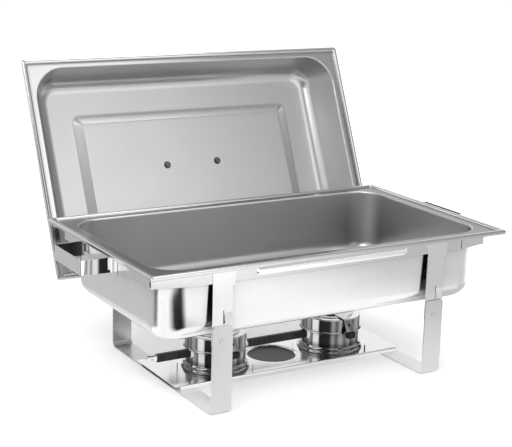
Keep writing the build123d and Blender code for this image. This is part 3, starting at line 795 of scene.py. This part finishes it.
# --- pieces that keep their CAD shape -----------------------------------------------------
def dress(node, material, bevel=0.3):
    """Give a CAD node its material, and soften its edges with modifiers."""
    piece = NODES[node]
    piece.data.materials.clear()
    piece.data.materials.append(material)
    for polygon in piece.data.polygons:
        polygon.use_smooth = True
        polygon.material_index = 0
    if bevel:
        weld = piece.modifiers.new("weld", "WELD")
        weld.merge_threshold = 0.002 * MM
        flatten = piece.modifiers.new("flatten", "DECIMATE")
        flatten.decimate_type = "DISSOLVE"
        flatten.angle_limit = math.radians(0.6)
        edges = piece.modifiers.new("edges", "BEVEL")
        edges.width = bevel * MM
        edges.segments = 2
        edges.limit_method = "ANGLE"
        edges.angle_limit = math.radians(35)
        edges.harden_normals = True
        shade = piece.modifiers.new("even shading", "WEIGHTED_NORMAL")
        shade.keep_sharp = True


# How a node's name starts, its material, and how far its edges are softened in millimetres.
DRESSING = (
    ("leg_bracket", "bracket", 0.25), ("leg_rivets", "rivet", 0.12),
    ("lid_handle_", "fastener", 0.12), ("damper_pin", "fastener", 0.12),
    ("lever_rivet", "fastener", 0.12), ("lid_handle", "handle", 0.4),
    ("rail_splices", "splice", 0.1), ("lid_hook", "holder", 0.25), ("lid_rest_bar", "holder", 0.25),
    ("burner_link_bar", "bar", 0.3), ("burner_grip_tip", "tip", 0.4), ("burner_grip", "bar", 0.3))


def dress_all():
    """Dress each node that has a row in the table; the first row that fits counts."""
    for node in NODES:
        for start, material, bevel in DRESSING:
            if node.startswith(start):
                dress(node, MATERIALS[material], bevel)
                break


# --- stage --------------------------------------------------------------------------------
def flag_material():
    """Card whose brightness and strength vary over it, and which can be clear from behind."""
    material, tree, shader = node_material("studio_flag")
    tree.nodes.remove(shader)
    output = next(n for n in tree.nodes if n.type == "OUTPUT_MATERIAL")
    light = tree.nodes.new("ShaderNodeEmission")
    clear = tree.nodes.new("ShaderNodeBsdfTransparent")
    blend = tree.nodes.new("ShaderNodeMixShader")
    cloud = noise(tree, 2.5, (1, 1, 1), 2)
    tree.links.new(mixed(tree, spread(tree, cloud, 0, 1), (0.94,) * 3, (1, 1, 1)),
                   light.inputs["Color"])
    values = {}
    for name in ("tone", "fade", "two_sided"):
        node = tree.nodes.new("ShaderNodeAttribute")
        node.attribute_name = name
        values[name] = node.outputs["Fac"]
    tree.links.new(values["tone"], light.inputs["Strength"])
    side = tree.nodes.new("ShaderNodeNewGeometry")
    front = math_node(tree, "SUBTRACT", 1.0, side.outputs["Backfacing"])
    seen = math_node(tree, "MAXIMUM", front, values["two_sided"])
    tree.links.new(math_node(tree, "MULTIPLY", seen, values["fade"]), blend.inputs["Fac"])
    tree.links.new(clear.outputs["BSDF"], blend.inputs[1])
    tree.links.new(light.outputs["Emission"], blend.inputs[2])
    tree.links.new(blend.outputs["Shader"], output.inputs["Surface"])
    return material


def math_node(tree, operation, first, second):
    """Result of a math node on two numbers or sockets."""
    node = tree.nodes.new("ShaderNodeMath")
    node.operation = operation
    for socket, value in zip(node.inputs, (first, second)):
        if isinstance(value, (int, float)):
            socket.default_value = value
        else:
            tree.links.new(value, socket)
    return node.outputs["Value"]


def reflect_card(name, grid, tones, fades, two_sided=True):
    """Card that only shows in polished steel, as a studio's flags and reflectors do.
    grid holds rows of points; tones and fades hold one value for each point."""
    wide = len(grid[0])
    points = [Vector(p) for row in grid for p in row]
    faces = [(r * wide + c, r * wide + c + 1, (r + 1) * wide + c + 1, (r + 1) * wide + c)
             for r in range(len(grid) - 1) for c in range(wide - 1)]
    mesh = bpy.data.meshes.new(name)
    mesh.from_pydata(points, [], faces)
    flat = {"tone": [t for row in tones for t in row], "fade": [f for row in fades for f in row],
            "two_sided": [1.0 if two_sided else 0.0] * len(points)}
    for key, values in flat.items():
        mesh.attributes.new(key, "FLOAT", "POINT").data.foreach_set("value", values)
    mesh.materials.append(FLAG)
    card = bpy.data.objects.new(name, mesh)
    bpy.context.scene.collection.objects.link(card)
    card.visible_camera = False
    card.visible_diffuse = False
    card.visible_shadow = False
    card.visible_transmission = False


def polar(compass, distance, z):
    """Point at an angle from the front (towards the right) and a distance from the pan."""
    a = math.radians(compass)
    return distance * math.sin(a), PAN_MIDDLE - distance * math.cos(a), z


def soft(value, low, high, edge):
    """1 between low and high, falling to 0 over the edge on each side."""
    inside = min(value - low, high - value)
    return max(0.0, min(1.0, inside / edge))


def floor_card(name, start, stop, near, far, tone, edge=6, height=0.002):
    """Flat card just above the floor, between two angles from the front and two distances."""
    angles = [start + (stop - start) * k / 16 for k in range(17)]
    radii = [near + (far - near) * k / 6 for k in range(7)]
    tones = [[tone] * len(angles)] * len(radii)
    fades = [[soft(a, start, stop, edge) * soft(r, near, far, (far - near) / 6)
              for a in angles] for r in radii]
    reflect_card(name, [[polar(a, r, height) for a in angles] for r in radii], tones, fades)


def wall_card(name, start, stop, low, high, distance, tone, edge=6):
    """Upright card between two angles from the front and two heights in degrees."""
    angles = [start + (stop - start) * k / 16 for k in range(17)]
    rises = [low + (high - low) * k / 8 for k in range(9)]
    grid = [[polar(a, distance, distance * math.tan(math.radians(e))) for a in angles]
            for e in rises]
    fades = [[soft(a, start, stop, edge) * soft(e, low, high, edge) for a in angles]
             for e in rises]
    reflect_card(name, grid, [[tone] * len(angles)] * len(rises), fades)


BURNER_STRIPES = ((140, 0.10), (156, 0.35), (164, 0.05), (172, 0.30), (178, 0.12), (186, 0.42),
                  (195, 0.30), (198, 0.05), (201, 1.0), (214, 1.0), (218, 0.02), (242, 0.03),
                  (250, 0.40), (258, 0.10), (268, 0.50), (280, 0.15), (292, 0.45), (300, 0.08),
                  (320, 0.50), (340, 0.05))


def stripe_tone(stripes, at):
    """Tone at a place, from rows of (place, tone)."""
    for (a, low), (b, high) in zip(stripes, stripes[1:]):
        if a <= at <= b:
            return low + (high - low) * (at - a) / (b - a)
    return stripes[0][1]


def burner_screen(name, turn):
    """Half-round screen whose dark and light bands show in the cup's polished side."""
    low, high = mm_box(f"burner_cup_{name}")
    cx, cy = (low.x + high.x) / 2 * MM, (low.y + high.y) / 2 * MM
    radius = 0.056
    first, last = BURNER_STRIPES[0][0], BURNER_STRIPES[-1][0]
    angles = [last - 2.0 * k for k in range((last - first) // 2 + 1)]
    rows = ((0.0095, 0.25), (0.016, 0.35), (0.022, 0.9), (0.070, 1.0))    # height, brightness
    grid, tones = [], []
    for z, share in rows:
        grid.append([(cx + radius * math.cos(math.radians(a)),
                      cy + radius * math.sin(math.radians(a)), z) for a in angles])
        tones.append([share * stripe_tone(BURNER_STRIPES, min(max(a - turn, first), last))
                      for a in angles])
    reflect_card(f"burner_screen_{name}", grid, tones, [[1.0] * len(angles)] * len(rows),
                 two_sided=False)


def handle_screen(name, x, front, back, low, high, stripes):
    """Upright screen along Y with bands of light and dark, seen only from the outside."""
    steps = 120
    ys = [front + (back - front) * k / steps for k in range(steps + 1)]
    if x > 0:
        ys.reverse()
    tones = [[stripe_tone(stripes, y * 1000) for y in ys]] * 2
    grid = [[(x, y, z) for y in ys] for z in (high, low)]
    reflect_card(name, grid, tones, [[1.0] * len(ys)] * 2, two_sided=False)


def bar_screen(low_x, high_x):
    """Bright strip in front of the dark bar, seen only where the shelf mirrors the bar."""
    low, high = mm_box("burner_link_bar")
    grid = [[(x * MM, (low.y - 0.8) * MM, z * MM) for x in (low_x, high_x)]
            for z in (low.z - 1, high.z)]
    reflect_card("bar_screen", grid, [[0.95] * 2] * 2, [[1.0] * 2] * 2, two_sided=False)


def make_dome(tone):
    """Even tone that the steel reflects where no card is."""
    rises = [k * 90 / 10 for k in range(11)]
    angles = [k * 360 / 32 for k in range(33)]
    grid = [[polar(a, SKY_RADIUS * math.cos(math.radians(e)),
                   SKY_RADIUS * math.sin(math.radians(e)) - 0.1)
             for a in angles] for e in rises]
    reflect_card("studio_dome", grid, [[tone] * len(angles)] * len(rises),
                 [[1.0] * len(angles)] * len(rises))


def make_floor():
    """Pale round floor, a little lit by itself like a studio sweep."""
    mesh = bpy.data.meshes.new("floor")
    build = bmesh.new()
    bmesh.ops.create_circle(build, cap_ends=True, radius=14, segments=96)
    build.to_mesh(mesh)
    build.free()
    floor = bpy.data.objects.new("floor", mesh)
    bpy.context.scene.collection.objects.link(floor)
    material, tree, shader = node_material("floor_pale")
    cloud = noise(tree, 0.8, (1, 1, 1), 2)
    tree.links.new(mixed(tree, spread(tree, cloud, 0, 1), (0.93, 0.93, 0.93),
                         (0.96, 0.96, 0.96)), shader.inputs["Base Color"])
    shader.inputs["Roughness"].default_value = 0.9
    shader.inputs["Specular IOR Level"].default_value = 0.0
    shader.inputs["Emission Color"].default_value = (1, 1, 1, 1)
    shader.inputs["Emission Strength"].default_value = 0.22
    floor.data.materials.append(material)


def make_cards():
    """What the photographer's studio shows in the polished steel.
    Walls: two angles from the front, two heights in degrees, distance, tone.
    Floor: two angles from the front, two distances, tone, soft edge, height."""
    make_dome(0.50)
    wall_card("softbox_front", 0, 39, 8, 50, 3.0, 1.52)
    wall_card("flag_camera", -52, -12, 2, 45, 2.8, 0.10)
    wall_card("flag_right", 42, 110, 1, 40, 3.2, 0.30)
    wall_card("reflector_left", -120, -60, 5, 60, 3.0, 1.0)
    wall_card("reflector_back", 100, 215, 3, 38, 3.4, 1.0)
    floor_card("floor_left", -175, -86, 0.20, 1.8, 0.63, 4)
    floor_card("floor_front", -80, 95, 0.10, 0.80, 1.16, 6, 0.0025)
    floor_card("floor_line", -94, -74, 0.40, 1.5, 0.22, 8, 0.003)
    floor_card("floor_camera", -53, -8, 0.34, 0.74, 0.02, 13, 0.003)
    floor_card("floor_right", 14, 90, 0.40, 1.8, 0.72, 22, 0.003)
    floor_card("floor_far", 16, 90, 1.4, 2.4, 0.35, 14, 0.004)
    floor_card("floor_right_near", 50, 105, 0.18, 0.62, 0.66, 9, 0.0035)
    bar_screen(-211, -146)
    bar_screen(-56, 56)
    burner_screen("left", 0)
    burner_screen("right", -6)
    handle_screen("handle_screen_left", -0.2792, -0.112, -0.020, 0.160, 0.2035,
                  ((-120, 0.03), (-60, 0.02), (-28, 0.05), (-20, 0.3)))
    handle_screen("handle_screen_front", -0.2772, -0.245, -0.114, 0.150, 0.2035,
                  ((-245, 1.0), (-211, 1.0), (-209, 0.02), (-203, 0.02), (-201, 1.0),
                   (-193, 1.0), (-191, 0.1), (-186, 0.1), (-184, 1.0), (-167, 1.0),
                   (-161, 0.02), (-114, 0.02)))
    handle_screen("handle_screen_right", 0.2792, -0.112, 0.06, 0.160, 0.2035,
                  ((-112, 0.1), (-20, 0.02), (60, 0.05)))


def make_world():
    """Even pale light from all round."""
    world = bpy.data.worlds.new("studio")
    bpy.context.scene.world = world
    world.use_nodes = True
    background = world.node_tree.nodes["Background"]
    background.inputs["Color"].default_value = (1, 1, 1, 1)
    background.inputs["Strength"].default_value = 0.95


def add_light(name, location, target, size, power):
    """Soft rectangular lamp that points at the target."""
    lamp = bpy.data.lights.new(name, "AREA")
    lamp.shape = "RECTANGLE"
    lamp.size, lamp.size_y = size
    lamp.energy = power
    light = bpy.data.objects.new(name, lamp)
    light.location = location
    aim = Vector(target) - Vector(location)
    light.rotation_mode = "QUATERNION"
    light.rotation_quaternion = aim.to_track_quat("-Z", "Y")
    bpy.context.scene.collection.objects.link(light)
    return light


def make_lights():
    """Two soft lamps, one from the front left and one from above."""
    add_light("key", (-1.6, -1.2, 2.4), (0, 0, 0.2), (1.6, 1.2), 26)
    add_light("top", (0.6, 0.2, 2.6), (0, 0, 0.2), (1.4, 1.0), 14)


def make_camera():
    """Camera of the photograph: a long lens from the front left, a little above."""
    azimuth, elevation, roll = -0.5400, 0.24520, 0.028242    # radians
    place = Vector((-0.9911, -1.67593, 0.6788))
    sensor, lens = 36.0, 92.773125                            # millimetres
    back = Vector((math.sin(azimuth) * math.cos(elevation),
                   -math.cos(azimuth) * math.cos(elevation), math.sin(elevation)))
    right = Vector((math.cos(azimuth), math.sin(azimuth), 0))
    up = back.cross(right)
    c, s = math.cos(roll), math.sin(roll)
    right, up = c * right + s * up, -s * right + c * up
    camera_data = bpy.data.cameras.new("camera")
    camera_data.sensor_width = sensor
    camera_data.lens = lens
    camera_data.clip_start, camera_data.clip_end = 0.05, 60
    camera = bpy.data.objects.new("camera", camera_data)
    bpy.context.scene.collection.objects.link(camera)
    turn = Matrix((right, up, back)).transposed().to_4x4()
    camera.matrix_world = Matrix.Translation(place) @ turn
    bpy.context.scene.camera = camera


# --- materials of the pieces ---------------------------------------------------------------
FLAG = flag_material()
ALONG_X = (0.03, 1, 1)
ALONG_Z = (1, 1, 0.03)
MATERIALS = {
    # shade: reach in metres of the painted shade that darkens creases and the steel under edges
    "pan_in": steel("pan_satin", 0.68, 0.31, ALONG_X, 1100, 0, smudge=0.04, tint=0.006,
                    shade=0.11),
    # flange: painted reflection; the same sheet as the rim, made far darker as if it mirrored the
    # dark cavity
    "flange": steel("flange_satin_painted_reflection", 0.25, 0.20, ALONG_X, 1100, 0.0000015, smudge=0.05, tint=0.02,
                    shade=0.006),
    "pan_out": steel("pan_polished", 0.84, 0.08, (1, 1, 1), 120, 0, 0.00003, 7, smudge=0.04,
                     tint=0.01, shade=0.045),
    "rim": steel("rim_polished", 0.64, 0.10, ALONG_X, 1300, 0.000002, smudge=0.04, tint=0.02,
                 shade=0.004),
    "lid_in": steel("lid_satin", 0.62, 0.29, ALONG_X, 1100, 0, smudge=0.03, tint=0.003),
    "lid_rim": steel("lid_rim_polished", 0.66, 0.12, ALONG_X, 1300, 0.000002, smudge=0.04,
                     tint=0.02, shade=0.006),
    "lid_out": steel("lid_polished", 0.62, 0.06, ALONG_X, 900, 0, 0.00006, 6, smudge=0.05),
    "leg": steel("leg_satin", 0.63, 0.26, ALONG_Z, 1500, 0.0000015, smudge=0.05, tint=0.015),
    "rail": steel("rail_polished", 0.68, 0.15, ALONG_X, 1300, 0.000002, 0.00002, 12, tint=0.02),
    # rib: painted highlight; the rib is pressed in the rail's own strip but given a far brighter
    # tone so it reads as lit
    "rib": steel("rib_polished_painted_highlight", 0.97, 0.10, ALONG_X, 1300, 0.000001, tint=0.02),
    # splice: painted shade; the straps behind the rail seams are made near black for the shade in
    # the seam gaps
    "splice": steel("splice_painted_shade", 0.06, 0.45, ALONG_X, 1300, 0.000002, tint=0.1),
    # dish: painted shade; the dish pressed in the shelf's own steel is made near black for the
    # shade in the recess
    "dish": steel("dish_painted_shade", 0.07, 0.38, (1, 1, 1), 600, 0.000006, tint=0.2),
    "bracket": steel("bracket_polished", 0.78, 0.13, ALONG_Z, 1300, 0.000003, 0.00003, 25),
    "handle": steel("handle_polished", 0.78, 0.07, ALONG_X, 1300, 0.000002, 0.00002, 20),
    "fastener": steel("fastener_steel", 0.14, 0.22, (1, 1, 1), 1500, 0.00001, shade=0.01),
    "rivet": steel("rivet_steel", 0.60, 0.26, (1, 1, 1), 1500, tint=0.015),
    "shelf": steel("shelf_polished", 0.86, 0.13, ALONG_X, 900, 0, 0.00004, 9, smudge=0.05),
    "burner": steel("burner_polished", 0.80, 0.05, (1, 1, 1), 200, 0, 0.00010, 45, smudge=0.06,
                    shade=0.01),
    "damper": steel("damper_steel", 0.66, 0.20, (1, 1, 1), 1500, 0.000004),
    "holder": steel("holder_steel", 0.66, 0.22, ALONG_Z, 1300, 0.000004),
    "tip": steel("tip_chrome", 0.80, 0.05, (1, 1, 1), 300, 0, 0.00002, 60),
    "black": dark_plastic("knob_black", 0.012, 0.42),
    "bar": dark_plastic("bar_black", 0.022, 0.30),
}


# --- the whole scene ----------------------------------------------------------------------
make_camera()
make_floor()
make_cards()
make_world()
make_lights()
make_water_pan()
make_lid()
make_rails()
make_legs()
make_side_handles()
for burner_name in ("left", "right"):
    make_burner(burner_name)
    make_cover_ring(burner_name)
    make_damper(burner_name)
make_shelf()
dress_all()
bpy.context.scene.view_settings.view_transform = "Standard"
bpy.context.view_layer.update()
